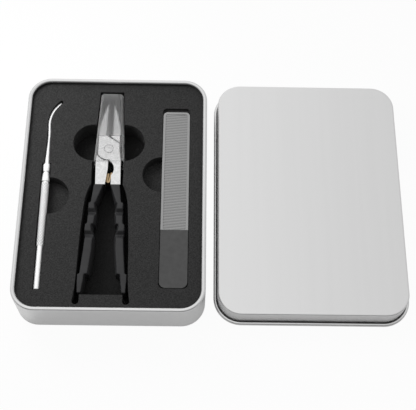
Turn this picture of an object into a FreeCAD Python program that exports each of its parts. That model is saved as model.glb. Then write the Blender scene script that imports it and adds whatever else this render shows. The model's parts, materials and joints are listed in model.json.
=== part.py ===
import FreeCAD, Part
import math
import os
from FreeCAD import Vector

# Manicure set in a slip-lid tin: nipper, lifter and file in a cut foam tray, with the lid beside it.
# Lengths are in millimetres. The origin is the centre of the base tin's underside.
# +X runs to the lid, +Y to the back, where the tools point, and +Z up.

# Fits shared by all pieces
overrun = 1.0
seat_gap = 0.3
press_gap = 0.02
running_gap = 0.05

# Sheet of the tin, with the rim rolled in on the base and out on the lid
sheet = 0.3
case_height = 27.0
case_corner_r = 14.0
base_bend_r = 1.0
rim_curl_d = 2.4
roll_flat_turn = 45.0
lid_clearance = 0.25
lid_height = 14.0
lid_bend_r = 1.0
lid_bead_d = 2.5
lid_gap = 4.85
lid_shift = 3.8

# Places of the tools in the tray, measured from the tin's inside walls
lifter_from_wall = 13.8
lifter_to_nipper = 36.3
nipper_to_file = 40.2
file_from_wall = 18.1
front_wall = 4.5
back_wall = 7.6
lifter_from_front = 13.3
file_from_front = 14.9
tool_back_room = 6.0

# Foam tray in two layers
foam_drop = 3.0
foam_side_gap = 0.1
pocket_gap = 0.6
cap_end_gap = 1.2
tongue_gap = 1.1
slot_width = 4.0
slot_reach = 5.8
nipper_hole_r = 12.2
nipper_hole_spread = 9.25
nipper_hole_ahead = 4.1
recess_depth = 7.0
lifter_recess_r = 11.7
lifter_recess_shift = 2.9
lifter_recess_along = 57.8
file_recess_r = 11.5
file_recess_along = 70.9
groove_gap = 0.35
file_side_gap = 0.35
file_front_gap = 0.45
file_back_gap = 2.3

# Nipper forgings, measured from the pivot
nipper_thickness = 11.0
lap_edge_reach = 6.5
lap_edge_turn = 56.0
lap_foot_r = 7.2
lap_gap = 0.1
shoulder_gap = 0.8
squeeze_turn = 3.3
plate_half_width = 6.25
plate_ahead = 8.9
jaw_step = 0.8
jaw_length = 33.6
jaw_half_width = 6.55
jaw_shoulder = 12.8
jaw_bulge = 0.4
jaw_tip_width = 0.6
jaw_tip_gap = 2.0
jaw_tip_thickness = 4.5
edge_land = 0.4
edge_bevel_turn = 67.0
relief_r = 1.3
relief_ahead = 9.4
shank_length = 23.5
shank_shoulder = 8.0
shank_shoulder_width = 7.4
right_outer_end = 7.85
right_inner_top = 0.85
right_inner_end = 2.15
left_outer_end = 6.9
left_inner_top = 0.05
left_inner_bend = 13.5
left_inner_end = 1.3

# Pivot rivet
rivet_r = 2.0
rivet_head_r = 2.9
rivet_head_depth = 1.4
rivet_head_rise = 0.3
rivet_groove_width = 0.4
rivet_groove_depth = 0.5
rivet_dot_r = 0.8
rivet_dot_depth = 0.4

# Hairpin leaf spring between the shanks, with one leg in a hollow of the right shank
spring_leaf = 1.0
spring_width = 5.0
spring_side_gap = 0.1
spring_end_gap = 2.4
spring_bend_r = 0.6
spring_left_leg = 5.0
spring_right_leg = 5.2
spring_right_lean = 12.0
spring_tip_r = 0.9
spring_tip_turn = 42.0
hollow_start = 7.9
hollow_end = 17.4
hollow_bow = 2.1

# Sleeve grips on the handle tangs, stepped outward three times
grip_length = 67.7
grip_height = 12.0
grip_side_height = 5.6
grip_inner_flare = 1.2
grip_outer_flare = 0.4
handle_spread = 14.1
tang_thickness = 2.2
tang_height = 5.0
notch_depth = 2.6
notch_drop = 2.0
notch_length = 5.0
# Rows of a step: along the grip's length, inner and outer reach of the spread, part of the flare
grip_step_shares = (
    ((0.0, 0.142, 0.536, 0.0), (0.083, 0.285, 0.580, 0.5), (0.176, 0.442, 0.624, 1.0)),
    ((0.176, 0.496, 0.712, 1.0), (0.275, 0.440, 0.703, 1.0), (0.377, 0.475, 0.725, 1.0)),
    ((0.377, 0.588, 0.798, 1.0), (0.430, 0.560, 0.809, 1.0), (0.494, 0.482, 0.773, 1.0),
     (0.620, 0.496, 0.816, 1.0), (0.832, 0.603, 0.901, 1.0)),
    ((0.832, 0.729, 0.986, 0.5), (0.898, 0.750, 0.986, 0.4), (1.0, 0.815, 0.960, 0.1)),
)
tang_shares = ((0.0, 0.339), (0.182, 0.540), (0.563, 0.650), (0.914, 0.850))
notch_along_shares = (0.231, 0.440)
pocket_shares = ((0.0, 0.660), (0.052, 0.766), (0.284, 0.936), (0.517, 1.0), (0.810, 1.035), (0.964, 1.071))

# Cap over the jaws
cap_wall = 0.6
cap_lift_gap = 0.3
cap_length = 46.3
cap_behind_pivot = 8.3
cap_shift = 0.4
cap_mouth_width = 17.9
cap_end_width = 13.2
cap_side_r = 1.9
cap_end_chamfer = 0.7

# Cuticle lifter, measured from its butt end
lifter_sink = 1.8
butt_d = 3.4
butt_length = 26.3
knurl_d = 4.7
knurl_length = 40.3
rear_collar_d = 4.7
rear_collar_length = 5.7
front_collar_d = 4.3
front_collar_length = 5.0
collar_groove_d = 3.4
collar_groove_width = 0.7
lifter_chamfer = 0.4
stem_d = 2.5
stem_depth = 6.0
neck_d = 1.4
neck_sides = 10
neck_taper_length = 14.5
neck_length = 4.7
back_bend_r = 60.0
back_bend_turn = 6.0
hook_r = 20.0
hook_turn = 49.0
hook_end = 1.5
blade_length = 7.0
blade_thickness = 0.7

# Nail file
file_sink = 0.45
file_length = 113.6
file_width = 16.0
file_thickness = 1.2
file_front_r = 3.6
file_back_r = 2.6
file_border = 1.4
file_cut_length = 76.7
file_cut_depth = 0.2
tooth_pitch = 1.75
tooth_depth = 0.2
tooth_rise_share = 0.3
tooth_slant = 7.0

# Sizes of the case, worked out round the tools
grip_tip = shank_length + grip_length
cap_ahead = cap_length - cap_behind_pivot
nipper_room = front_wall + slot_reach + tongue_gap + grip_tip + cap_ahead + cap_end_gap + back_wall
collars_length = rear_collar_length + front_collar_length + collar_groove_width + collar_groove_width
lifter_body_length = butt_length + knurl_length + collars_length
neck_end = lifter_body_length + neck_taper_length + neck_length
hook_start_turn = math.radians(back_bend_turn)
hook_end_turn = math.radians(hook_turn - back_bend_turn)
lifter_length = (neck_end + (back_bend_r + hook_r) * math.sin(hook_start_turn)
                 + hook_r * math.sin(hook_end_turn) + hook_end)
lifter_room = lifter_from_front + lifter_length + tool_back_room
file_room = file_from_front + file_length + file_back_gap + tool_back_room
inner_length = max(nipper_room, lifter_room, file_room)
inner_width = lifter_from_wall + lifter_to_nipper + nipper_to_file + file_from_wall
case_length = inner_length + 2 * sheet
case_width = inner_width + 2 * sheet
lid_corner_r = case_corner_r + lid_clearance + sheet
lid_width = case_width + 2 * (lid_clearance + sheet)
lid_length = case_length + 2 * (lid_clearance + sheet)

# Places of the tools in the case
front = -inner_length / 2
lifter_x = -inner_width / 2 + lifter_from_wall
nipper_x = lifter_x + lifter_to_nipper
file_x = nipper_x + nipper_to_file
pivot_y = front + front_wall + slot_reach + tongue_gap + grip_tip
lifter_y = front + lifter_from_front
file_y = front + file_from_front
lid_x = case_width / 2 + lid_gap + lid_bead_d - sheet + lid_width / 2

# Levels
foam_top = case_height - foam_drop
nipper_z = foam_top - grip_height / 2
half_thickness = nipper_thickness / 2
cap_half_height = half_thickness + rivet_head_rise + cap_lift_gap + cap_wall
pocket_floor = nipper_z - max(cap_half_height, grip_height / 2) - seat_gap
lifter_z = foam_top - lifter_sink
recess_floor = foam_top - recess_depth
file_z = foam_top - file_sink - file_thickness
file_floor = file_z - seat_gap

up = Vector(0, 0, 1)
along = Vector(0, 1, 0)
across = Vector(1, 0, 0)


def at(centre, radius, angle):
    turn = math.radians(angle)
    return Vector(centre[0] + radius * math.cos(turn), centre[1] + radius * math.sin(turn), 0)


def bow(centre, radius, start, end):
    middle = (start + end) / 2
    return Part.Arc(at(centre, radius, start), at(centre, radius, middle), at(centre, radius, end)).toShape()


def line(start, end):
    return Part.makeLine(start, end)


def solid_of(edges, low, high):
    face = Part.Face(Part.Wire(edges))
    face.translate(up * low)
    return face.extrude(up * (high - low))


def prism(points, low, high):
    corners = [Vector(x, y, 0) for x, y in points]
    edges = [line(a, b) for a, b in zip(corners, corners[1:] + corners[:1])]
    return solid_of(edges, low, high)


def rectangle(left, right, near, far, low, high):
    return prism([(left, near), (right, near), (right, far), (left, far)], low, high)


def side_prism(points, low, high):
    """Prism of an outline drawn from the side, as places along and up, between two places across."""
    made = prism(points, low, high)
    made.rotate(Vector(), Vector(1, 1, 1), 120)
    return made


def disc(centre, radius, low, high):
    return Part.makeCylinder(radius, high - low, Vector(centre[0], centre[1], low))


def ring_sector(centre, radius, thickness, start, end, low, high):
    outer = radius + thickness / 2
    inner = radius - thickness / 2
    edges = [
        bow(centre, outer, start, end),
        line(at(centre, outer, end), at(centre, inner, end)),
        bow(centre, inner, end, start),
        line(at(centre, inner, start), at(centre, outer, start)),
    ]
    return solid_of(edges, low, high)


def rounded_rect(width, length, radii):
    """Edges of a rectangle about the origin; radii go round from the right front corner."""
    half_w = width / 2
    half_l = length / 2
    corners = ((half_w, -half_l), (half_w, half_l), (-half_w, half_l), (-half_w, -half_l))
    arcs = []
    for index, (x, y) in enumerate(corners):
        radius = radii[index]
        centre = (x - math.copysign(radius, x), y - math.copysign(radius, y))
        arcs.append(bow(centre, radius, 90 * index - 90, 90 * index))
    edges = []
    for index, arc in enumerate(arcs):
        following = arcs[(index + 1) % len(arcs)]
        edges += [arc, line(arc.Vertexes[-1].Point, following.Vertexes[0].Point)]
    return edges


def rounded_plate(width, length, radius, low, high):
    return solid_of(rounded_rect(width, length, (radius,) * 4), low, high)


def fuse(pieces):
    return pieces[0].multiFuse(pieces[1:]).removeSplitter()


def carried_round(section, width, length, corner_r):
    """Carry an upright section, its wall's outside at x = corner_r, round a rounded rectangle."""
    x = width / 2 - corner_r
    y = length / 2 - corner_r
    corners = [Vector(x, y, 0), Vector(-x, y, 0), Vector(-x, -y, 0), Vector(x, -y, 0)]
    pieces = []
    for index, corner in enumerate(corners):
        previous = corners[index - 1]
        start = section.copy()
        start.rotate(Vector(), up, 90 * index)
        run = start.extrude(corner - previous)
        run.translate(previous)
        bend = start.revolve(Vector(), up, 90)
        bend.translate(corner)
        pieces += [run, bend]
    return pieces


def roll(centre, radius, start, end):
    """Points of a rolled or bent edge, pressed in flats of half a right angle."""
    flats = round(abs(end - start) / roll_flat_turn)
    return [at(centre, radius, start + (end - start) * step / flats) for step in range(flats + 1)]


def closing_turn(radius):
    """Turn at which a roll that starts on one face of the sheet meets the other."""
    return 360 - math.degrees(math.acos(1 - sheet / radius))


def upright(points):
    face = Part.Face(Part.makePolygon(points + points[:1]))
    face.rotate(Vector(), across, 90)
    return face


def base_tin():
    curl_r = rim_curl_d / 2
    curl = (case_corner_r - curl_r, case_height - curl_r)
    bend = (case_corner_r - base_bend_r, base_bend_r)
    section = upright(
        roll(bend, base_bend_r, 270, 360)
        + roll(curl, curl_r, 0, 270)
        + [at(curl, curl_r, closing_turn(curl_r))]
        + roll(bend, base_bend_r - sheet, 360, 270)
    )
    flat = 2 * base_bend_r
    floor = rounded_plate(case_width - flat, case_length - flat, case_corner_r - base_bend_r, 0, sheet)
    return fuse([floor] + carried_round(section, case_width, case_length, case_corner_r))


def lid():
    bead_r = lid_bead_d / 2
    bead = (lid_corner_r - sheet + bead_r, bead_r)
    bend = (lid_corner_r - lid_bend_r, lid_height - lid_bend_r)
    section = upright(
        roll(bend, lid_bend_r, 90, 0)
        + [at(bead, bead_r, 180 + closing_turn(bead_r))]
        + roll(bead, bead_r, 450, 180)
        + roll(bend, lid_bend_r - sheet, 0, 90)
    )
    flat = 2 * lid_bend_r
    panel = rounded_plate(lid_width - flat, lid_length - flat, lid_corner_r - lid_bend_r,
                          lid_height - sheet, lid_height)
    shell = fuse([panel] + carried_round(section, lid_width, lid_length, lid_corner_r))
    shell.translate(Vector(lid_x, lid_shift, 0))
    return shell


def foam_plate(low, high):
    slim = 2 * foam_side_gap
    return rounded_plate(inner_width - slim, inner_length - slim,
                         case_corner_r - sheet - foam_side_gap, low, high)


def foam_backing():
    layer = foam_plate(sheet, pocket_floor)
    rim = [edge for edge in layer.Edges if edge.BoundBox.ZMax < sheet + foam_side_gap]
    return layer.makeChamfer(base_bend_r, rim)


def grip_place(share):
    return -shank_length - share * grip_length


def nipper_pocket():
    """Cutter for the nipper: snug round the cap, opening out round the shanks and handles."""
    low = pocket_floor - overrun
    high = foam_top + overrun
    back = cap_ahead + cap_end_gap
    mouth = -cap_behind_pivot - pocket_gap
    tongue = -grip_tip - tongue_gap
    slot_r = slot_width / 2
    slot_end = tongue - slot_reach + slot_r
    slot_left = handle_spread - slot_r
    flank = [Vector(share * handle_spread, grip_place(place), 0) for place, share in pocket_shares]
    flank += [Vector(handle_spread + slot_r, slot_end, 0)]
    curve = Part.BSplineCurve()
    curve.interpolate(flank)
    end_half = cap_end_width / 2 + pocket_gap
    mouth_half = cap_mouth_width / 2 + pocket_gap
    mouth_corner = Vector(mouth_half, mouth, 0)
    right = [
        line(Vector(0, mouth, 0), mouth_corner),
        line(mouth_corner, flank[0]),
        curve.toShape(),
        bow((handle_spread, slot_end), slot_r, 0, -180),
        line(Vector(slot_left, slot_end, 0), Vector(slot_left, tongue, 0)),
        line(Vector(slot_left, tongue, 0), Vector(0, tongue, 0)),
    ]
    left = [edge.mirror(Vector(), across) for edge in right]
    handle_room = solid_of(Part.__sortEdges__(right + left), low, high)
    cap_room = prism([(end_half, back), (-end_half, back), (-mouth_half, mouth), (mouth_half, mouth)], low, high)
    cap_room.translate(across * cap_shift)
    pocket = fuse([handle_room, cap_room])
    pocket.translate(Vector(nipper_x, pivot_y, 0))
    return pocket


def finger_slot():
    low = pocket_floor - overrun
    high = foam_top + overrun
    y = pivot_y + nipper_hole_ahead
    ends = [nipper_x - nipper_hole_spread, nipper_x + nipper_hole_spread]
    middle = rectangle(*ends, y - nipper_hole_r, y + nipper_hole_r, low, high)
    return fuse([middle] + [disc((x, y), nipper_hole_r, low, high) for x in ends])


def half_disc(centre, radius, edge_x, side):
    """Finger recess: the part of a disc on one side of a tool."""
    high = foam_top + overrun
    whole = disc(centre, radius, recess_floor, high)
    reach = edge_x + side * 2 * radius
    keep = rectangle(edge_x, reach, centre[1] - radius, centre[1] + radius, recess_floor, high)
    return whole.common(keep)


def lifter_path():
    """Centres and headings of the two bends of the lifter's tip, in its own frame."""
    back_centre = Vector(-back_bend_r, neck_end, 0)
    hook_centre = at(back_centre, back_bend_r + hook_r, back_bend_turn)
    end_angle = 180 + back_bend_turn - hook_turn
    return back_centre, hook_centre, end_angle


def lifter_groove():
    body_floor = lifter_z - knurl_d / 2 - seat_gap
    tip_floor = lifter_z - stem_d / 2 - seat_gap
    high = foam_top + overrun
    butt_half = butt_d / 2 + groove_gap
    body_half = knurl_d / 2 + groove_gap
    body_start = butt_length - groove_gap
    stem_half = stem_d / 2 + groove_gap
    neck_half = neck_d / 2 + groove_gap
    body_end = lifter_body_length + groove_gap
    taper_end = lifter_body_length + neck_taper_length
    back_centre, hook_centre, end_angle = lifter_path()
    end = at(hook_centre, hook_r, end_angle)
    point = end + at((0, 0), hook_end, end_angle - 90)
    side = at((0, 0), neck_half, end_angle)
    butt = rectangle(-butt_half, butt_half, -groove_gap, body_end, body_floor, high)
    body = rectangle(-body_half, body_half, body_start, body_end, body_floor, high)
    neck = prism([(-stem_half, lifter_body_length), (stem_half, lifter_body_length), (neck_half, taper_end),
                  (neck_half, neck_end), (-neck_half, neck_end), (-neck_half, taper_end)], tip_floor, high)
    bend = ring_sector(back_centre, back_bend_r, 2 * neck_half, 0, back_bend_turn, tip_floor, high)
    hook = ring_sector(hook_centre, hook_r, 2 * neck_half, 180 + back_bend_turn, end_angle, tip_floor, high)
    corners = (end - side, end + side, point + side, point - side)
    straight = prism([(corner.x, corner.y) for corner in corners], tip_floor, high)
    tip = disc(point, neck_half, tip_floor, high)
    groove = fuse([butt, body, neck, bend, hook, straight, tip])
    groove.translate(Vector(lifter_x, lifter_y, 0))
    return groove


def file_pocket():
    length = file_length + file_front_gap + file_back_gap
    pocket = rounded_plate(file_width + 2 * file_side_gap, length, file_back_r, file_floor, foam_top + overrun)
    pocket.translate(Vector(file_x, file_y - file_front_gap + length / 2, 0))
    return pocket


def foam_insert():
    layer = foam_plate(pocket_floor, foam_top)
    lifter_recess = half_disc((lifter_x + lifter_recess_shift, lifter_y + lifter_recess_along), lifter_recess_r,
                              lifter_x, 1)
    file_edge = file_x - file_width / 2
    file_recess = half_disc((file_edge, file_y + file_recess_along), file_recess_r, file_edge + file_border, -1)
    cuts = [nipper_pocket(), finger_slot(), lifter_groove(), lifter_recess, file_pocket(), file_recess]
    return layer.cut(cuts)


def tang(gap):
    """Flat tang of the right handle, grown by a gap on every side for the sleeve's socket."""
    half = tang_thickness / 2 + gap
    places = [(share * handle_spread, grip_place(place)) for place, share in tang_shares]
    places[0] = (places[0][0], places[0][1] + overrun)
    places[-1] = (places[-1][0], places[-1][1] - gap)
    inner = [(x - half, y) for x, y in places]
    outer = [(x + half, y) for x, y in reversed(places)]
    return prism(inner + outer, -tang_height / 2 - gap, tang_height / 2 + gap)


def turned_over(shape):
    """The other half of the nipper is the same one turned about the long axis."""
    other = shape.copy()
    other.rotate(Vector(), along, 180)
    return other


def lap_plate(grow, half_width, turn, low, high):
    """Lap plate round the pivot: a straight edge ahead on the right, a round foot behind on the left."""
    far = 2 * jaw_length
    reach = lap_edge_reach + grow
    ahead = rectangle(-half_width, half_width, 0, plate_ahead, low, high)
    behind = rectangle(-half_width, half_width, -far, 0, low, high)
    foot = disc((0, 0), lap_foot_r + grow, low, high).common(behind)
    inside_edge = rectangle(-far, reach, -far, far, low, high)
    inside_edge.rotate(Vector(), up, turn)
    return fuse([ahead, foot]).common(inside_edge)


def lap_room():
    """Room for the other half's lap plate, clear of it from rest to fully squeezed."""
    room = lap_plate(shoulder_gap, lap_foot_r + shoulder_gap, lap_edge_turn - squeeze_turn,
                     -lap_gap / 2, half_thickness + overrun)
    return turned_over(room)


def edge_bevels():
    """Cutters that grind the left jaw down to its cutting edge, from above and from below."""
    land = edge_land / 2
    top = half_thickness + overrun
    reach = (top - land) / math.tan(math.radians(edge_bevel_turn))
    wedge = prism([(overrun, land), (0, land), (-reach, top), (overrun, top)],
                  -jaw_length - overrun, -plate_ahead - jaw_step)
    wedge.rotate(Vector(), across, 90)
    wedge.rotate(Vector(), up, math.degrees(math.atan(jaw_tip_gap / 2 / jaw_length)))
    return [wedge, wedge.mirror(Vector(), up)]


def jaw():
    tip = Vector(-jaw_tip_gap / 2, jaw_length, 0)
    point = tip - across * jaw_tip_width
    foot = Vector(-plate_half_width, 0, 0)
    plate_side = Vector(-plate_half_width, plate_ahead, 0)
    shoulder = Vector(-jaw_half_width, jaw_shoulder, 0)
    belly = (shoulder + point) / 2 - across * jaw_bulge
    edges = [
        line(Vector(), foot),
        line(foot, plate_side),
        line(plate_side, shoulder),
        Part.Arc(shoulder, belly, point).toShape(),
        line(point, tip),
        line(tip, Vector()),
    ]
    return solid_of(edges, -half_thickness, half_thickness).cut(edge_bevels())


def shank(inner_edges, outer_end):
    """Shank on the right, from the edges of its inner side and its half width at the end."""
    start = inner_edges[0].Vertexes[0].Point
    inner_end = inner_edges[-1].Vertexes[-1].Point
    end = Vector(outer_end, -shank_length, 0)
    shoulder = Vector(shank_shoulder_width, -shank_shoulder, 0)
    top = Vector(plate_half_width, 0, 0)
    outer_edges = [line(inner_end, end), line(end, shoulder), line(shoulder, top), line(top, start)]
    return solid_of(inner_edges + outer_edges, -half_thickness, half_thickness)


def nipper_half(handle):
    """One forging about the pivot: jaw on the left, shank on the right, its lap plate above the middle."""
    jaw_top = half_thickness - jaw_step
    jaw_start = plate_ahead + jaw_step
    tip_top = jaw_tip_thickness / 2
    top_line = [(-grip_tip, half_thickness), (plate_ahead, half_thickness), (jaw_start, jaw_top),
                (jaw_length, tip_top)]
    under_line = [(place, -height) for place, height in reversed(top_line)]
    side = side_prism(top_line + under_line, -handle_spread, handle_spread)
    arms = fuse([jaw(), handle]).common(side).cut(lap_room())
    plate = lap_plate(0, plate_half_width, lap_edge_turn, lap_gap / 2, half_thickness)
    body = fuse([arms, plate, tang(0)])
    above = half_thickness + overrun
    relief = disc((0, relief_ahead), relief_r, -above, above)
    hole = disc((0, 0), rivet_r + running_gap, -above, above)
    head_seat = disc((0, 0), rivet_head_r + running_gap, half_thickness - rivet_head_depth, above)
    return body.cut([relief, hole, head_seat])


def in_case(shape):
    placed = shape.copy()
    placed.translate(Vector(nipper_x, pivot_y, nipper_z))
    return placed


def upper_half():
    top = Vector(right_inner_top, 0, 0)
    hollow_top = Vector(right_inner_top, -hollow_start, 0)
    hollow_foot = Vector(right_inner_end, -hollow_end, 0)
    hollow_middle = (hollow_top + hollow_foot) / 2 + across * hollow_bow
    end = Vector(right_inner_end, -shank_length, 0)
    inner_edges = [
        line(top, hollow_top),
        Part.Arc(hollow_top, hollow_middle, hollow_foot).toShape(),
        line(hollow_foot, end),
    ]
    return nipper_half(shank(inner_edges, right_outer_end)).cut(spring_room())


def lower_half():
    top = Vector(left_inner_top, 0, 0)
    bend = Vector(left_inner_top, -left_inner_bend, 0)
    end = Vector(left_inner_end, -shank_length, 0)
    return turned_over(nipper_half(shank([line(top, bend), line(bend, end)], left_outer_end)))


def pivot_rivet():
    """Rivet with a flat head at each end, set in by a groove round its rim and a dot in its middle."""
    inside = half_thickness - rivet_head_depth + running_gap
    rim = half_thickness - rivet_groove_depth
    outside = half_thickness + rivet_head_rise
    face_r = rivet_head_r - rivet_groove_width
    shaft = disc((0, 0), rivet_r, -inside, inside)
    top = fuse([disc((0, 0), rivet_head_r, inside, rim), disc((0, 0), face_r, inside, outside)])
    dot = disc((0, 0), rivet_dot_r, outside - rivet_dot_depth, outside + overrun)
    head = top.cut(dot)
    return fuse([shaft, head, turned_over(head)])


def leaf_leg(foot, end, lean, leaf, half_width):
    """Straight leg of the spring between two points in the middle of its leaf, leaning to the right."""
    side = at((0, 0), leaf / 2, -lean)
    corners = (foot - side, foot + side, end + side, end - side)
    return prism([(corner.x, corner.y) for corner in corners], -half_width, half_width)


def spring_places():
    """Middle of the spring's bend, lean of its left leg, and both legs' ends in the middle of the leaf."""
    outer_r = spring_bend_r + spring_leaf / 2
    bend_y = spring_end_gap + outer_r - shank_length
    slope = (left_inner_end - left_inner_top) / (shank_length - left_inner_bend)
    left_edge = -left_inner_end + slope * (shank_length + bend_y)
    left_lean = math.degrees(math.atan(slope))
    centre = (left_edge + spring_side_gap + outer_r, bend_y)
    left_foot = at(centre, spring_bend_r, 180 - left_lean)
    left_end = at(left_foot, spring_left_leg, 90 - left_lean)
    right_foot = at(centre, spring_bend_r, 360 - spring_right_lean)
    right_end = at(right_foot, spring_right_leg, 90 - spring_right_lean)
    return centre, left_lean, (left_foot, left_end), (right_foot, right_end)


def right_leg(foot, end, room):
    """Right leg of the spring with its curled tip, or the room round them."""
    leaf = spring_leaf + 2 * room
    half_width = spring_width / 2 + room
    tip_centre = at(end, spring_tip_r, -spring_right_lean)
    tip_start = 180 - spring_right_lean
    tip_end = tip_start - spring_tip_turn - math.degrees(room / spring_tip_r)
    tip = ring_sector(tip_centre, spring_tip_r, leaf, tip_start, tip_end, -half_width, half_width)
    return [leaf_leg(foot, end, spring_right_lean, leaf, half_width), tip]


def handle_spring():
    """Hairpin: its left leg lies along the left shank, and the right one leans into the hollow."""
    centre, left_lean, left, right = spring_places()
    high = spring_width / 2
    bend = ring_sector(centre, spring_bend_r, spring_leaf, 180 - left_lean, 360 - spring_right_lean, -high, high)
    left_leg = leaf_leg(*left, left_lean, spring_leaf, high)
    return fuse([bend, left_leg] + right_leg(*right, 0))


def spring_room():
    """Room that the right shank leaves round the spring's bend and right leg, whatever their sizes."""
    centre, left_lean, left, right = spring_places()
    high = spring_width / 2 + spring_side_gap
    bend = disc(centre, spring_bend_r + spring_leaf / 2 + spring_side_gap, -high, high)
    return fuse([bend] + right_leg(*right, spring_side_gap))


def grip_section(place, inner, outer, flare):
    y = grip_place(place)
    inside = inner * handle_spread
    outside = outer * handle_spread
    bulge_in = inside - flare * grip_inner_flare
    bulge_out = outside + flare * grip_outer_flare
    top = grip_height / 2
    side = grip_side_height / 2
    above = top + overrun
    outer_side = [(outside, above), (outside, top), (bulge_out, side)]
    inner_side = [(bulge_in, side), (inside, top), (inside, above)]
    upper = inner_side + outer_side
    ring = upper + [(x, -z) for x, z in reversed(upper)]
    points = [Vector(x, y, z) for x, z in ring]
    return Part.makePolygon(points + points[:1])


def right_grip():
    steps = [Part.makeLoft([grip_section(*row) for row in rows], True, True) for rows in grip_step_shares]
    top = grip_height / 2
    notches = []
    for place in notch_along_shares:
        y = grip_place(place)
        outline = [(y, top + overrun), (y, top), (y - notch_drop, top - notch_depth), (y - notch_length, top),
                   (y - notch_length, top + overrun)]
        notch = side_prism(outline, 0, handle_spread + overrun)
        notches += [notch, notch.mirror(Vector(), up)]
    reach = handle_spread + overrun
    slab = rectangle(-reach, reach, -grip_tip, 0, -top, top)
    return fuse(steps).common(slab).cut(notches + [tang(press_gap)])


def cap_block(end, mouth_width, end_width, height, corner_r):
    """Tapered block from the cap's mouth to a far end, its four long corners rounded."""
    block = prism([(mouth_width / 2, -cap_behind_pivot), (end_width / 2, end), (-end_width / 2, end),
                   (-mouth_width / 2, -cap_behind_pivot)], -height / 2, height / 2)
    long_edges = [edge for edge in block.Edges if edge.BoundBox.YLength > cap_length / 2]
    return block.makeFillet(corner_r, long_edges)


def tip_cap():
    height = 2 * cap_half_height
    skin = 2 * cap_wall
    outside = cap_block(cap_ahead, cap_mouth_width, cap_end_width, height, cap_side_r)
    end = [edge for edge in outside.Edges if edge.BoundBox.YMin > cap_ahead - cap_wall]
    outside = outside.makeChamfer(cap_end_chamfer, end)
    inside = cap_block(cap_ahead - cap_wall, cap_mouth_width - skin, cap_end_width - skin, height - skin,
                       cap_side_r - cap_wall)
    shell = outside.cut(inside)
    shell.translate(across * cap_shift)
    return shell


def turned(profile):
    """Turn a profile of (radius, place) points about the lifter's axis."""
    points = [Vector(radius, place, 0) for radius, place in profile]
    points = [Vector(0, points[0].y, 0)] + points + [Vector(0, points[-1].y, 0)]
    face = Part.Face(Part.makePolygon(points + points[:1]))
    return face.revolve(Vector(), along, 360)


def lifter_in_case(shape):
    shape.translate(Vector(lifter_x, lifter_y, lifter_z))
    return shape


def lifter_handle():
    butt_r = butt_d / 2
    knurl_r = knurl_d / 2
    groove_r = collar_groove_d / 2
    knurl_end = butt_length + knurl_length
    rear_start = knurl_end + collar_groove_width
    rear_end = rear_start + rear_collar_length
    front_start = rear_end + collar_groove_width
    handle = turned([
        (butt_r - lifter_chamfer, 0),
        (butt_r, lifter_chamfer),
        (butt_r, butt_length),
        (knurl_r - lifter_chamfer, butt_length),
        (knurl_r, butt_length + lifter_chamfer),
        (knurl_r, knurl_end - lifter_chamfer),
        (knurl_r - lifter_chamfer, knurl_end),
        (groove_r, knurl_end),
        (groove_r, rear_start),
        (rear_collar_d / 2, rear_start),
        (rear_collar_d / 2, rear_end),
        (groove_r, rear_end),
        (groove_r, front_start),
        (front_collar_d / 2, front_start),
        (front_collar_d / 2, lifter_body_length - lifter_chamfer),
        (front_collar_d / 2 - lifter_chamfer, lifter_body_length),
    ])
    bore = turned([(stem_d / 2 + press_gap, lifter_body_length - stem_depth - press_gap),
                   (stem_d / 2 + press_gap, lifter_body_length + overrun)])
    return lifter_in_case(handle.cut(bore))


def neck_ring(radius, place):
    """Section of the lifter's tip: a ring of flats across its axis."""
    points = []
    for side in range(neck_sides):
        turn = 2 * math.pi * side / neck_sides
        points.append(Vector(radius * math.sin(turn), place, radius * math.cos(turn)))
    return Part.makePolygon(points + points[:1])


def lifter_tip():
    neck_r = neck_d / 2
    back_centre, hook_centre, end_angle = lifter_path()
    stem_r = stem_d / 2
    stem = turned([(stem_r, lifter_body_length - stem_depth), (stem_r, lifter_body_length)])
    taper_end = lifter_body_length + neck_taper_length
    neck = Part.makeLoft([neck_ring(stem_r, lifter_body_length), neck_ring(neck_r, taper_end),
                          neck_ring(neck_r, neck_end)], True, True)
    start = Part.Face(neck_ring(neck_r, neck_end))
    bend = start.revolve(back_centre, up, back_bend_turn)
    middle = start.copy()
    middle.rotate(back_centre, up, back_bend_turn)
    hook = middle.revolve(hook_centre, up, -hook_turn)
    last = middle.copy()
    last.rotate(hook_centre, up, -hook_turn)
    heading = at((0, 0), hook_end, end_angle - 90)
    point = last.extrude(heading)
    end = at(hook_centre, hook_r, end_angle) + heading
    tip = fuse([stem, neck, bend, hook, point])
    slab = blade_thickness / 2
    shaving = disc(end, blade_length, slab, slab + neck_d)
    other = disc(end, blade_length, -slab - neck_d, -slab)
    return lifter_in_case(tip.cut([shaving, other]))


def teeth_cutter():
    """Comb of slanted teeth that sinks the cut area into the file's top, within a plain border."""
    cut_top = file_thickness - file_cut_depth
    clear = file_thickness + overrun
    reach = file_width + file_cut_length / 2
    teeth = int(2 * reach / tooth_pitch)
    points = [(-reach, clear)]
    for index in range(teeth):
        near = index * tooth_pitch - reach
        points += [(near, cut_top), (near + tooth_rise_share * tooth_pitch, cut_top - tooth_depth)]
    last = teeth * tooth_pitch - reach
    points += [(last, cut_top), (last, clear)]
    comb = side_prism(points, -file_width, file_width)
    comb.rotate(Vector(), up, tooth_slant)
    area = rounded_plate(file_width - 2 * file_border, file_cut_length, file_back_r - file_border, 0, clear)
    teeth_solid = comb.common(area)
    teeth_solid.translate(along * (file_length - file_border - file_cut_length / 2))
    return teeth_solid


def nail_file():
    edges = rounded_rect(file_width, file_length, (file_front_r, file_back_r, file_back_r, file_front_r))
    plate = solid_of(edges, 0, file_thickness)
    plate.translate(along * (file_length / 2))
    top_teeth = teeth_cutter()
    under_teeth = top_teeth.mirror(Vector(0, 0, file_thickness / 2), up)
    blade = plate.cut([top_teeth, under_teeth])
    blade.translate(Vector(file_x, file_y, file_z))
    return blade


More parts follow.
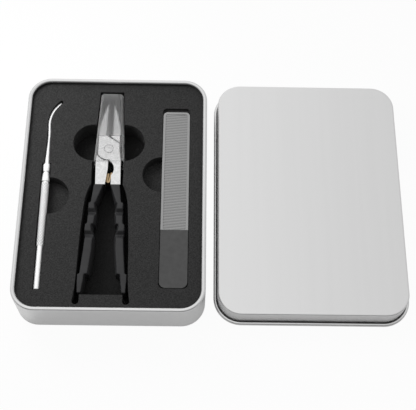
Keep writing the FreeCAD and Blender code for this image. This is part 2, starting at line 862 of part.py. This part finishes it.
nodes = {
    "base_tin": base_tin(),
    "foam_backing": foam_backing(),
    "foam_insert": foam_insert(),
    "lid": lid(),
    "nipper_upper_half": in_case(upper_half()),
    "nipper_lower_half": in_case(lower_half()),
    "pivot_rivet": in_case(pivot_rivet()),
    "handle_spring": in_case(handle_spring()),
    "right_grip": in_case(right_grip()),
    "left_grip": in_case(turned_over(right_grip())),
    "tip_cap": in_case(tip_cap()),
    "lifter_handle": lifter_handle(),
    "lifter_tip": lifter_tip(),
    "nail_file": nail_file(),
}

os.makedirs("parts", exist_ok=True)
for name, shape in nodes.items():
    shape.exportStep(f"parts/{name}.step")
    box = shape.BoundBox
    print(f"{name}: {len(shape.Solids)} solid, valid {shape.isValid()}, {shape.Volume:.1f} mm3,",
          f"x {box.XMin:.2f} {box.XMax:.2f} y {box.YMin:.2f} {box.YMax:.2f} z {box.ZMin:.2f} {box.ZMax:.2f}")
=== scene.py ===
# Looks of a manicure set in a slip-lid tin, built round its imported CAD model.
# Sizes and places are in millimetres in the model's frame, and are scaled to metres when a piece is made.
import json
import math

import bmesh
import bpy
from mathutils import Matrix, Vector

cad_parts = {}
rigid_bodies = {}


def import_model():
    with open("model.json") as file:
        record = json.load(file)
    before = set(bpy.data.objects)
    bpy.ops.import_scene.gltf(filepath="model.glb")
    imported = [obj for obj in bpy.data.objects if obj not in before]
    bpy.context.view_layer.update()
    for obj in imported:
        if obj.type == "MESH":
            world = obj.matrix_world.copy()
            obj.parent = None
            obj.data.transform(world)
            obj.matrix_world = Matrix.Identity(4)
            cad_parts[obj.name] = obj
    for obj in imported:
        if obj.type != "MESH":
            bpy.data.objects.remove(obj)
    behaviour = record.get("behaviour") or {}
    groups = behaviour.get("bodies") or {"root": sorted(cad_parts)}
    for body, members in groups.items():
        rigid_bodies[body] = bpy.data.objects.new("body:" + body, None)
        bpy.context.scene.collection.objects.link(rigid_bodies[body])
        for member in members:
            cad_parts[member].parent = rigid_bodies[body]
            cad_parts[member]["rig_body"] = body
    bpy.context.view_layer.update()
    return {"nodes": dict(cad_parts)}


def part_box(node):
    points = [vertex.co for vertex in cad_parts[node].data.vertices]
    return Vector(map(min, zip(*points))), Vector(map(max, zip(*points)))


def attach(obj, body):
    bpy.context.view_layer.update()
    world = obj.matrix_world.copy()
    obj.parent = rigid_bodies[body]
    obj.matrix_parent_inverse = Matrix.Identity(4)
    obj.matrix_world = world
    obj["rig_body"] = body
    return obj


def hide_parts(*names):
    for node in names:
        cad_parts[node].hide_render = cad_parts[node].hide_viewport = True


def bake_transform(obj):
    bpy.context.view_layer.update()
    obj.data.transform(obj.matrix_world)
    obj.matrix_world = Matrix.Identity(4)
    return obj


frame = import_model()
nodes = frame["nodes"]

MM = 0.001

# Tin sheet
sheet = 0.3
corner_r = 14.0
bend_r = 1.0
rim_curl_d = 2.6
lid_bead_d = 2.5
rim_roll_turn = 310.0
bead_roll_turn = 280.0
# Height up to which the lid's wall is painted dark as crease shade above the bead, as a share of the bead's
# diameter
crease_shade_share = 0.8
roll_steps = 22
bend_steps = 6
corner_steps = 18

# Softened edges of pieces copied from the CAD model
foam_edge = 0.12
forged_edge = 0.3
rivet_edge = 0.12
spring_edge = 0.08
cap_edge = 0.35
file_edge = 0.1
edge_angle = 30.0
edge_segments = 3
weld_gap = 0.002
flat_angle = 1.0
grip_voxel = 0.35
grip_smoothing = 8

# Lifter, measured from its butt end; a collar has its near and far diameters and its length
butt_d = 3.4
butt_length = 26.3
knurl_ds = (4.5, 4.9)
knurl_length = 40.3
knurl_depth = 0.36
knurl_starts = 8
knurl_pitch = 1.9
knurl_facets = 12
collars = ((4.7, 4.0, 5.7), (4.0, 4.3, 5.0))
collar_groove_d = 2.9
collar_groove_width = 0.7
turned_round = 0.4
round_steps = 4
seam = 0.05
handle_length = butt_length + knurl_length + sum(length + collar_groove_width for _, _, length in collars)

# Lifter's tip
tip_seat = 1.0
stem_d = 3.0
neck_d = 1.75
neck_taper_length = 14.5
neck_length = 4.7
neck_steps = 12
back_bend_r = 60.0
back_bend_turn = 6.0
back_bend_steps = 4
hook_r = 20.0
hook_turn = 49.0
hook_steps = 16
hook_end = 1.5
blade_length = 7.0
blade_thickness = 0.6
blade_width = 1.5
tip_sides = 20

# File: where its cut starts along Y, heights in the cut above the file's middle over which the painted groove
# shade lifts, and the grit's share in the cut's tone
file_cut_start = -24.3
groove_level = 0.2
crest_level = 0.4
grit_share = 0.8

# Cap: where it turns from clear to milky along Y, and how far noise moves that line
cap_clear_end = 37.6
cap_milky_start = 39.6
cap_haze_reach = 3.0

# Values that noise mostly lies between, and what clouds leave of a metal's colour
noise_low = 0.3
noise_high = 0.7
cloud_dimming = 0.86

# Camera, fitted to the photograph's frame of 416 x 410
camera_place = (46.681, -240.998, 526.866)
camera_right = (0.99978016, 0.00575259, 0.02016262)
camera_up = (-0.01368279, 0.90764679, 0.41951172)
camera_forward = (0.01588725, 0.41969537, -0.90752597)
frame_width = 416
focal_pixels = 949.86
camera_clip = 10.0

# Floor and room: shares of plain white for what is seen directly and for what metal mirrors,
# and steps of the room's light, each with two places and the levels there
floor_half_size = 3000
floor_drop = 0.05
floor_shade = 0.65
floor_white = (0.95, 0.29)
room_white = (1.0, 0.18)
room_lean = (0.0, 1.2, 1.0)
sky_step = (-0.55, 0.57, 0.05, 1.0)
tilt_step = (-0.12, 0.3, 1.1, 0.68)
flank_step = (-0.6, -0.05, 0.75, 1.0)

# Lamp, with its power in watts
lamp_place = (-130.0, 90.0, 170.0)
lamp_size = 120.0
lamp_power = 0.4


# Node helpers

def new_material(name, settings):
    """A material with some of its shader's sockets set, its node tree and its shader."""
    material = bpy.data.materials.new(name)
    material.use_nodes = True
    tree = material.node_tree
    shader = tree.nodes["Principled BSDF"]
    for socket, value in settings.items():
        shader.inputs[socket].default_value = value
    return material, tree, shader


def node(tree, kind, inputs=None, **settings):
    """A node whose inputs are linked where a socket is given, and set where a value is."""
    made = tree.nodes.new(kind)
    for key, value in settings.items():
        setattr(made, key, value)
    for key, value in (inputs or {}).items():
        if isinstance(value, bpy.types.NodeSocket):
            tree.links.new(value, made.inputs[key])
        else:
            made.inputs[key].default_value = value
    return made


def calc(tree, operation, *values):
    return node(tree, "ShaderNodeMath", dict(enumerate(values)), operation=operation).outputs["Value"]


def component(tree, vector, axis):
    return node(tree, "ShaderNodeSeparateXYZ", {"Vector": vector}).outputs[axis]


def place_mm(tree, stretch=(1, 1, 1)):
    """Place on the piece in millimetres, stretched along the axes."""
    coordinates = node(tree, "ShaderNodeTexCoord")
    scale = [1 / (MM * share) for share in stretch]
    mapping = node(tree, "ShaderNodeMapping", {"Vector": coordinates.outputs["Object"], "Scale": scale})
    return mapping.outputs["Vector"]


def noise(tree, vector, size, detail=2.0, roughness=0.5):
    """Noise whose features are about one size across, in millimetres."""
    made = node(tree, "ShaderNodeTexNoise",
                {"Vector": vector, "Scale": 1 / size, "Detail": detail, "Roughness": roughness})
    return made.outputs["Fac"]


def tool_grain(tree):
    """Fine noise drawn out along a tool."""
    return noise(tree, place_mm(tree, stretch=(1, 12, 1)), size=0.25, detail=3.0)


def spread(tree, value, low, high, start=noise_low, end=noise_high, **settings):
    """Spread a value over a range as it goes from a start to an end."""
    made = node(tree, "ShaderNodeMapRange",
                {"Value": value, "From Min": start, "From Max": end, "To Min": low, "To Max": high}, **settings)
    return made.outputs["Result"]


def soft_step(tree, value, start, end, low, high):
    """Run smoothly from one level to another as a value goes from a start to an end."""
    return spread(tree, value, low, high, start, end, interpolation_type="SMOOTHSTEP")


def grey(level):
    return (level, level, level)


def colour_ramp(tree, value, first, last, start=noise_low, end=noise_high):
    """Run from a first colour to a last one as a value goes from a start to an end."""
    ramp = node(tree, "ShaderNodeValToRGB", {"Fac": value})
    ramp.color_ramp.elements[0].position = start
    ramp.color_ramp.elements[1].position = end
    ramp.color_ramp.elements[0].color = (*first, 1)
    ramp.color_ramp.elements[1].color = (*last, 1)
    return ramp.outputs["Color"]


def bump(tree, shader, height, depth):
    """Raise the surface by a height value times a depth in millimetres."""
    made = node(tree, "ShaderNodeBump", {"Height": height, "Distance": depth * MM, "Strength": 1.0})
    tree.links.new(made.outputs["Normal"], shader.inputs["Normal"])


# Materials

def tinplate():
    """Satin sheet with a fine grain and faint bands along Y."""
    material, tree, shader = new_material("satin_tinplate", {"Metallic": 1.0})
    grain = noise(tree, place_mm(tree, stretch=(1, 30, 1)), size=0.35, detail=3.0)
    bands = noise(tree, place_mm(tree, stretch=(1, 40, 1)), size=4.0, detail=3.0)
    tree.links.new(colour_ramp(tree, bands, grey(0.748), grey(0.76)), shader.inputs["Base Color"])
    tree.links.new(spread(tree, grain, low=0.29, high=0.31), shader.inputs["Roughness"])
    bump(tree, shader, grain, depth=0.0005)
    return material


def foam(name, dark, light):
    """Matt foam, mottled by its cells and pitted by its pores."""
    material, tree, shader = new_material(name, {"Roughness": 0.92, "Specular IOR Level": 0.25})
    cells = noise(tree, place_mm(tree), size=0.7, detail=3.0, roughness=0.7)
    shade = colour_ramp(tree, cells, grey(dark), grey(light), start=0.32, end=0.72)
    tree.links.new(shade, shader.inputs["Base Color"])
    pores = noise(tree, place_mm(tree), size=0.45, detail=2.0, roughness=0.6)
    bump(tree, shader, pores, depth=0.25)
    return material


def steel(name, colour, smoothest, roughest, depth):
    """Metal with a grain along the tool, and dimmer clouds of its colour."""
    material, tree, shader = new_material(name, {"Metallic": 1.0})
    grain = tool_grain(tree)
    cloud = noise(tree, place_mm(tree), size=1.5, detail=3.0)
    dimmer = [cloud_dimming * part for part in colour]
    tree.links.new(colour_ramp(tree, cloud, dimmer, colour), shader.inputs["Base Color"])
    tree.links.new(spread(tree, grain, low=smoothest, high=roughest), shader.inputs["Roughness"])
    bump(tree, shader, grain, depth)
    return material


def turned_steel():
    """Satin plating, painted darker towards the bottom of the knurl's grooves as shade there."""
    material, tree, shader = new_material("turned_steel", {"Metallic": 0.5})
    groove = node(tree, "ShaderNodeAttribute", attribute_name="groove").outputs["Fac"]
    # Painted shade: the colour darkens with the groove's depth
    shade = colour_ramp(tree, groove, grey(1.0), grey(0.5), start=0.35, end=1.0)
    tree.links.new(shade, shader.inputs["Base Color"])
    grain = tool_grain(tree)
    tree.links.new(spread(tree, grain, low=0.22, high=0.28), shader.inputs["Roughness"])
    bump(tree, shader, grain, depth=0.002)
    return material


def grip_plastic():
    """Matt black plastic with a fine grain."""
    material, tree, shader = new_material("matt_grip_plastic", {"Roughness": 0.55})
    grain = noise(tree, place_mm(tree), size=0.3)
    cloud = noise(tree, place_mm(tree), size=5.0)
    shade = colour_ramp(tree, cloud, (0.014, 0.014, 0.015), (0.02, 0.02, 0.021))
    tree.links.new(shade, shader.inputs["Base Color"])
    bump(tree, shader, grain, depth=0.03)
    return material


def milky_cap():
    """Clear over the lap plates and milky from the jaws to the closed end, with denser walls than top."""
    settings = {"Sheen Weight": 0.15, "Sheen Roughness": 0.4, "IOR": 1.3}
    material, tree, shader = new_material("milky_cap", settings)
    place = place_mm(tree)
    haze = calc(tree, "MULTIPLY_ADD", noise(tree, place, size=2.0), cap_haze_reach, component(tree, place, "Y"))
    milky = spread(tree, haze, low=0.0, high=1.0, start=cap_clear_end, end=cap_milky_start)
    shade = colour_ramp(tree, milky, grey(0.99), grey(0.87), start=0.0, end=1.0)
    tree.links.new(shade, shader.inputs["Base Color"])
    tree.links.new(spread(tree, milky, low=0.22, high=0.5, start=0.0, end=1.0), shader.inputs["Roughness"])
    normal = node(tree, "ShaderNodeNewGeometry").outputs["Normal"]
    level = calc(tree, "ABSOLUTE", component(tree, normal, "Z"))
    clear = spread(tree, level, low=0.78, high=0.955, start=0.3, end=0.95)
    tree.links.new(clear, shader.inputs["Transmission Weight"])
    return material


def file_steel(middle):
    """Etched cut behind a line across the file, painted darker in its grooves as shade there, and a plain
    darker handle in front.
    """
    material, tree, shader = new_material("file_steel", {"Metallic": 0.55})
    place = place_mm(tree)
    cut = calc(tree, "GREATER_THAN", component(tree, place, "Y"), file_cut_start)
    height = calc(tree, "ABSOLUTE", calc(tree, "SUBTRACT", component(tree, place, "Z"), middle))
    # Painted shade: the cut is darker towards the bottom of its teeth's grooves
    crest = spread(tree, height, low=0.0, high=1.0, start=groove_level, end=crest_level)
    grit = noise(tree, place_mm(tree, stretch=(2.2, 0.7, 1)), size=0.4, detail=2.0, roughness=0.7)
    gritty = calc(tree, "MULTIPLY_ADD", grit, grit_share, crest)
    shade = spread(tree, gritty, low=0.0, high=1.0, start=0.3, end=1.5)
    etched = colour_ramp(tree, shade, grey(0.21), grey(0.35), start=0.0, end=1.0)
    plain = colour_ramp(tree, noise(tree, place, size=3.0), grey(0.064), grey(0.076))
    colour = node(tree, "ShaderNodeMix", {"Factor": cut, "A": plain, "B": etched}, data_type="RGBA")
    tree.links.new(colour.outputs["Result"], shader.inputs["Base Color"])
    tree.links.new(spread(tree, cut, low=0.42, high=0.55, start=0.0, end=1.0), shader.inputs["Roughness"])
    bump(tree, shader, calc(tree, "MULTIPLY", grit, cut), depth=0.06)
    return material


# Mesh helpers

def box_mm(node_name):
    low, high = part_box(node_name)
    return low / MM, high / MM


def link(name, mesh, material):
    made = bpy.data.objects.new(name, mesh)
    bpy.context.scene.collection.objects.link(made)
    mesh.materials.clear()
    mesh.materials.append(material)
    return made


def piece_of(name, bm, material):
    """An object in metres from a bmesh in millimetres; its end caps stay flat."""
    bmesh.ops.recalc_face_normals(bm, faces=bm.faces)
    for face in bm.faces:
        face.smooth = len(face.verts) < 5
    mesh = bpy.data.meshes.new(name)
    bm.to_mesh(mesh)
    bm.free()
    mesh.transform(Matrix.Scale(MM, 4))
    return link(name, mesh, material)


def loft(rings, shaded_bands=range(0)):
    """Closed skin through rings of points, capped at both ends; the listed bands take the piece's second
    material, which here paints shade in a crease.
    """
    bm = bmesh.new()
    rows = [[bm.verts.new(point) for point in ring] for ring in rings]
    for band, (near, far) in enumerate(zip(rows, rows[1:])):
        for index in range(len(near)):
            following = (index + 1) % len(near)
            face = bm.faces.new((near[index], near[following], far[following], far[index]))
            face.material_index = int(band in shaded_bands)
    bm.faces.new(rows[0])
    bm.faces.new(rows[-1])
    return bm


def weighted(made):
    """Let the large faces set the shading, so that flat panels stay flat."""
    modifier = made.modifiers.new("weighted_normals", "WEIGHTED_NORMAL")
    modifier.keep_sharp = True
    return made


def dressed_copy(name, node_name, material, edge):
    """A copy of a CAD node's mesh, welded and with its edges rounded."""
    bm = bmesh.new()
    bm.from_mesh(nodes[node_name].data)
    bmesh.ops.remove_doubles(bm, verts=bm.verts, dist=weld_gap * MM)
    bmesh.ops.dissolve_limit(bm, angle_limit=math.radians(flat_angle), verts=bm.verts, edges=bm.edges)
    for face in bm.faces:
        face.smooth = True
    mesh = bpy.data.meshes.new(name)
    bm.to_mesh(mesh)
    bm.free()
    made = link(name, mesh, material)
    rounding = made.modifiers.new("edges", "BEVEL")
    rounding.width = edge * MM
    rounding.segments = edge_segments
    rounding.limit_method = "ANGLE"
    rounding.angle_limit = math.radians(edge_angle)
    return weighted(made)


def moulded_copy(name, node_name, material):
    """A copy of a CAD node's mesh with all its edges run soft, as on moulded plastic."""
    made = link(name, nodes[node_name].data.copy(), material)
    remesh = made.modifiers.new("skin", "REMESH")
    remesh.mode = "VOXEL"
    remesh.voxel_size = grip_voxel * MM
    remesh.use_smooth_shade = True
    smooth = made.modifiers.new("soft", "SMOOTH")
    smooth.iterations = grip_smoothing
    return made


def stand_in(made, node_name):
    """The piece takes a CAD node's place and rides on its body."""
    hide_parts(node_name)
    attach(made, nodes[node_name]["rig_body"])


def arc(centre, radius, start, end, steps):
    turns = [math.radians(start + (end - start) * step / steps) for step in range(steps + 1)]
    return [(centre[0] + radius * math.cos(turn), centre[1] + radius * math.sin(turn)) for turn in turns]


# Tin

def tin_ring(low, high, offset, z):
    """Rounded rectangle inside a box's walls, moved out by an offset, at a height."""
    radius = corner_r + offset
    points = []
    corners = ((high.x, high.y), (low.x, high.y), (low.x, low.y), (high.x, low.y))
    for quarter, (x, y) in enumerate(corners):
        centre = (x - math.copysign(corner_r, x - (low.x + high.x) / 2),
                  y - math.copysign(corner_r, y - (low.y + high.y) / 2))
        for px, py in arc(centre, radius, 90 * quarter, 90 * quarter + 90, corner_steps):
            points.append(Vector((px, py, z)))
    return points


def base_tin(material):
    """Drawn tin with its rim rolled in, from a profile of offsets and heights."""
    low, high = box_mm("base_tin")
    curl_r = rim_curl_d / 2
    curl = (-curl_r, high.z - curl_r)
    bend = (-bend_r, bend_r)
    profile = (arc(bend, bend_r, 270, 360, bend_steps)
               + arc(curl, curl_r, 0, rim_roll_turn, roll_steps)
               + arc(curl, curl_r - sheet, rim_roll_turn, 0, roll_steps)
               + arc(bend, bend_r - sheet, 360, 270, bend_steps))
    rings = [tin_ring(low, high, offset, z) for offset, z in profile]
    made = piece_of("tin_base", loft(rings), material)
    stand_in(weighted(made), "base_tin")


def lid(material, inside):
    """Drawn lid with its lower edge rolled out to a bead; the roll's inside and the wall's foot above the bead
    take a dark material, painted shade in the crease.
    """
    low, high = box_mm("lid")
    proud = Vector((lid_bead_d - sheet, lid_bead_d - sheet, 0))
    low, high = low + proud, high - proud
    bead_r = lid_bead_d / 2
    bead = (bead_r - sheet, bead_r)
    bend = (-bend_r, high.z - bend_r)
    outside = (arc(bend, bend_r - sheet, 90, 0, bend_steps)
               + arc(bead, bead_r, 180, 180 + bead_roll_turn, roll_steps))
    hollow = arc(bead, bead_r - sheet, 180 + bead_roll_turn, 180, roll_steps)
    hollow.append((0, lid_bead_d * crease_shade_share))
    profile = outside + hollow + arc(bend, bend_r, 0, 90, bend_steps)
    # Bands of the roll's inside and the wall's foot, painted dark as shade in the crease
    shaded_bands = range(len(outside), len(outside) + len(hollow) - 1)
    rings = [tin_ring(low, high, offset, z) for offset, z in profile]
    made = piece_of("tin_lid", loft(rings, shaded_bands), material)
    made.data.materials.append(inside)
    stand_in(weighted(made), "lid")


# Foam

def foam_layers():
    tray = foam("charcoal_foam", dark=0.015, light=0.044)
    # The backing under the deep pockets is coloured darker than the tray, as painted shade on the pocket floors
    backing = foam("shaded_backing_foam", dark=0.008, light=0.018)
    layers = (("foam_tray", "foam_insert", tray), ("foam_floor", "foam_backing", backing))
    for name, node_name, material in layers:
        made = dressed_copy(name, node_name, material, foam_edge)
        stand_in(made, node_name)


# Nipper

def nipper(forged, plastic):
    for side in ("upper", "lower"):
        node_name = "nipper_" + side + "_half"
        made = dressed_copy("forging_" + side, node_name, forged, forged_edge)
        stand_in(made, node_name)
    for side in ("right", "left"):
        node_name = side + "_grip"
        stand_in(moulded_copy("grip_" + side, node_name, plastic), node_name)
    stand_in(dressed_copy("rivet", "pivot_rivet", forged, rivet_edge), "pivot_rivet")


def spring(material):
    """Hairpin spring, copied from the CAD model in place of its node, with its place baked into the mesh."""
    made = dressed_copy("hairpin_spring", "handle_spring", material, spring_edge)
    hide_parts("handle_spring")
    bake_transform(made)


def tip_cap():
    stand_in(dressed_copy("cap", "tip_cap", milky_cap(), cap_edge), "tip_cap")


# Lifter

def turned_ring(radius, y, sides):
    turns = [2 * math.pi * side / sides for side in range(sides)]
    return [Vector((radius * math.sin(turn), y, radius * math.cos(turn))) for turn in turns]


def lifter_start():
    """Middle of the handle's butt end."""
    low, high = box_mm("lifter_handle")
    return Vector(((low.x + high.x) / 2, low.y, (low.z + high.z) / 2))


def rounded_end(diameter, place, side, sides):
    """Rings of a turned length's rounded end, which runs forward from its rim or back to it."""
    rings = []
    for step in range(round_steps + 1):
        turn = math.radians(90 * step / round_steps)
        rings.append(turned_ring(diameter / 2 - turned_round * (1 - math.sin(turn)),
                                 place + side * turned_round * (1 - math.cos(turn)), sides))
    rings.append(turned_ring(diameter / 2, place + side * 2 * turned_round, sides))
    return rings[::side]


def triangle(value):
    return abs(2 * (value - math.floor(value)) - 1)


def knurl_grooves(y, sides):
    """Depth shares round a ring of the knurl: two sets of helical grooves leave small pyramids."""
    climb = y / knurl_pitch
    starts = [knurl_starts * side / sides for side in range(sides)]
    return [max(triangle(start + climb), triangle(start - climb)) for start in starts]


def knurl_rings(sides):
    """Rings of the knurl between its rounded ends, and the depth shares round each."""
    steps = int(knurl_length / knurl_pitch * knurl_facets)
    rings = []
    grooves = []
    for step in range(1, steps):
        share = step / steps
        y = butt_length + turned_round + (knurl_length - 2 * turned_round) * share
        crest_r = (knurl_ds[0] + (knurl_ds[1] - knurl_ds[0]) * share) / 2
        grooves.append(knurl_grooves(y, sides))
        radii = [crest_r - knurl_depth * groove for groove in grooves[-1]]
        rings.append([Vector((point.x * radius, y, point.z * radius))
                      for point, radius in zip(turned_ring(1, y, sides), radii)])
    return rings, grooves


def lifter(material):
    """Turned handle: plain butt, knurl and two collars, with the knurl's depth kept for its material, which
    paints shade in the grooves.
    """
    start = lifter_start()
    sides = knurl_starts * knurl_facets
    knurl_near_d, knurl_far_d = [diameter - knurl_depth for diameter in knurl_ds]
    knurled, grooves = knurl_rings(sides)
    rings = rounded_end(butt_d, 0, 1, sides)
    rings += [turned_ring(butt_d / 2, butt_length - turned_round, sides),
              turned_ring(butt_d / 2, butt_length - seam, sides)]
    rings += rounded_end(knurl_near_d, butt_length, 1, sides)[:-1]
    plain = len(rings)
    rings += knurled
    y = butt_length + knurl_length
    rings += rounded_end(knurl_far_d, y, -1, sides)[1:]
    for near_d, far_d, length in collars:
        rings += [turned_ring(collar_groove_d / 2, y + seam, sides),
                  turned_ring(collar_groove_d / 2, y + collar_groove_width - seam, sides)]
        y += collar_groove_width
        rings += rounded_end(near_d, y, 1, sides) + rounded_end(far_d, y + length, -1, sides)
        y += length
    rings.append(turned_ring(stem_d / 2 + seam, y, sides))
    handle = loft([[start + point for point in ring] for ring in rings])
    depth = handle.verts.layers.float.new("groove")
    handle.verts.ensure_lookup_table()
    for index, ring in enumerate(grooves):
        for side, groove in enumerate(ring):
            handle.verts[(plain + index) * sides + side][depth] = groove
    stand_in(piece_of("lifter_body", handle, material), "lifter_handle")


def tip_path():
    """Points along the tip and the turn at each: straight neck, slight bend back, then the hook."""
    straight = neck_taper_length + neck_length + tip_seat
    path = []
    for step in range(neck_steps + 1):
        path.append((Vector((0, handle_length - tip_seat + straight * step / neck_steps, 0)), 0.0))
    back = Vector((-back_bend_r, handle_length + neck_taper_length + neck_length, 0))
    for step in range(1, back_bend_steps + 1):
        turn = math.radians(back_bend_turn * step / back_bend_steps)
        path.append((back + back_bend_r * Vector((math.cos(turn), math.sin(turn), 0)), turn))
    lean = math.radians(back_bend_turn)
    hook = back + (back_bend_r + hook_r) * Vector((math.cos(lean), math.sin(lean), 0))
    for step in range(1, hook_steps + 1):
        turn = lean - math.radians(hook_turn * step / hook_steps)
        path.append((hook - hook_r * Vector((math.cos(turn), math.sin(turn), 0)), turn))
    heading = Vector((-math.sin(turn), math.cos(turn), 0))
    path.append((path[-1][0] + heading * hook_end, turn))
    return path


def lifter_tip(material):
    """Tapered and hooked tip, flattened to a blade at its end."""
    start = lifter_start()
    path = tip_path()
    lengths = [0.0]
    for (near, _), (far, _) in zip(path, path[1:]):
        lengths.append(lengths[-1] + (far - near).length)
    rounds = [2 * math.pi * side / tip_sides for side in range(tip_sides)]
    rings = []
    for (centre, turn), length in zip(path, lengths):
        taper = min(1.0, max(0.0, (centre.y - handle_length) / neck_taper_length))
        radius = stem_d / 2 + (neck_d - stem_d) / 2 * taper
        blade = max(0.0, 1 - (lengths[-1] - length) / blade_length)
        half_wide = radius + (blade_width / 2 - radius) * blade
        half_high = radius + (blade_thickness / 2 - radius) * blade
        across = Vector((math.cos(turn), math.sin(turn), 0))
        rings.append([start + centre + across * half_wide * math.sin(angle)
                      + Vector((0, 0, half_high * math.cos(angle))) for angle in rounds])
    stand_in(piece_of("lifter_hook", loft(rings), material), "lifter_tip")


# File

def nail_file():
    low, high = box_mm("nail_file")
    filed = file_steel((low.z + high.z) / 2)
    stand_in(dressed_copy("file", "nail_file", filed, file_edge), "nail_file")


# Stage

def camera():
    data = bpy.data.cameras.new("camera")
    data.sensor_fit = "HORIZONTAL"
    data.lens = data.sensor_width * focal_pixels / frame_width
    data.clip_start = camera_clip * MM
    made = bpy.data.objects.new("camera", data)
    columns = Matrix((camera_right, camera_up, [-part for part in camera_forward])).transposed()
    made.matrix_world = Matrix.Translation(Vector(camera_place) * MM) @ columns.to_4x4()
    bpy.context.scene.collection.objects.link(made)
    bpy.context.scene.camera = made


def white_share(tree, direct, mirrored):
    """Share of plain white that a ray sees: directly or through clear pieces, or mirrored in metal."""
    path = node(tree, "ShaderNodeLightPath")
    seen = calc(tree, "MAXIMUM", path.outputs["Is Camera Ray"], path.outputs["Is Transmission Ray"])
    plain = calc(tree, "MULTIPLY", seen, direct)
    gloss = calc(tree, "MULTIPLY", path.outputs["Is Glossy Ray"], mirrored)
    return calc(tree, "MAXIMUM", plain, gloss)


def floor():
    """Pale floor just under the object, mixed with plain white for what is seen and mirrored."""
    bm = bmesh.new()
    bmesh.ops.create_grid(bm, x_segments=1, y_segments=1, size=floor_half_size)
    bmesh.ops.translate(bm, verts=bm.verts, vec=(0, 0, -floor_drop))
    colour = (*grey(floor_shade), 1)
    material, tree, shader = new_material("pale_floor", {"Base Color": colour, "Roughness": 0.9})
    glow = node(tree, "ShaderNodeEmission", {"Color": (1, 1, 1, 1), "Strength": 1.0})
    mix = node(tree, "ShaderNodeMixShader", {0: white_share(tree, *floor_white), 1: shader.outputs["BSDF"],
                                             2: glow.outputs["Emission"]})
    tree.links.new(mix.outputs["Shader"], tree.nodes["Material Output"].inputs["Surface"])
    piece_of("floor", bm, material)


def world():
    """Soft light from above, brightest to the back and the left, as in a light tent with a dark front."""
    made = bpy.data.worlds.new("studio")
    made.use_nodes = True
    tree = made.node_tree
    background = tree.nodes["Background"]
    direction = node(tree, "ShaderNodeTexCoord").outputs["Generated"]
    lean = node(tree, "ShaderNodeVectorMath", {0: direction, 1: room_lean}, operation="DOT_PRODUCT")
    sky = soft_step(tree, lean.outputs["Value"], *sky_step)
    side = component(tree, direction, "X")
    sides = calc(tree, "MULTIPLY", soft_step(tree, side, *tilt_step), soft_step(tree, side, *flank_step))
    room = calc(tree, "MULTIPLY", sky, sides)
    strength = node(tree, "ShaderNodeMix", {"Factor": white_share(tree, *room_white), "A": room, "B": 1.0},
                    data_type="FLOAT")
    tree.links.new(strength.outputs["Result"], background.inputs["Strength"])
    background.inputs["Color"].default_value = (1, 1, 1, 1)
    bpy.context.scene.world = made


def lamp():
    """Soft lamp at the back left, out of sight of the camera, of metal and of what is seen through the cap."""
    data = bpy.data.lights.new("key", "AREA")
    data.shape = "RECTANGLE"
    data.size = data.size_y = lamp_size * MM
    data.energy = lamp_power
    made = bpy.data.objects.new("key", data)
    place = Vector([part * MM for part in lamp_place])
    made.location = place
    made.rotation_euler = (-place).to_track_quat("-Z", "Y").to_euler()
    made.visible_camera = False
    made.visible_glossy = False
    made.visible_transmission = False
    bpy.context.scene.collection.objects.link(made)


def main():
    bpy.context.scene.view_settings.view_transform = "Standard"
    camera()
    world()
    lamp()
    floor()
    tin = tinplate()
    base_tin(tin)
    # The lid's bead takes a dark metal inside as painted shade in the crease
    lid(tin, steel("painted_crease_shade", grey(0.1), smoothest=0.5, roughest=0.6, depth=0.002))
    foam_layers()
    forged = steel("forged_steel", (0.77, 0.77, 0.772), smoothest=0.18, roughest=0.26, depth=0.003)
    nipper(forged, grip_plastic())
    spring(steel("spring_bronze", (0.5, 0.36, 0.21), smoothest=0.25, roughest=0.33, depth=0.002))
    turned = turned_steel()
    lifter(turned)
    lifter_tip(turned)
    tip_cap()
    nail_file()


main()
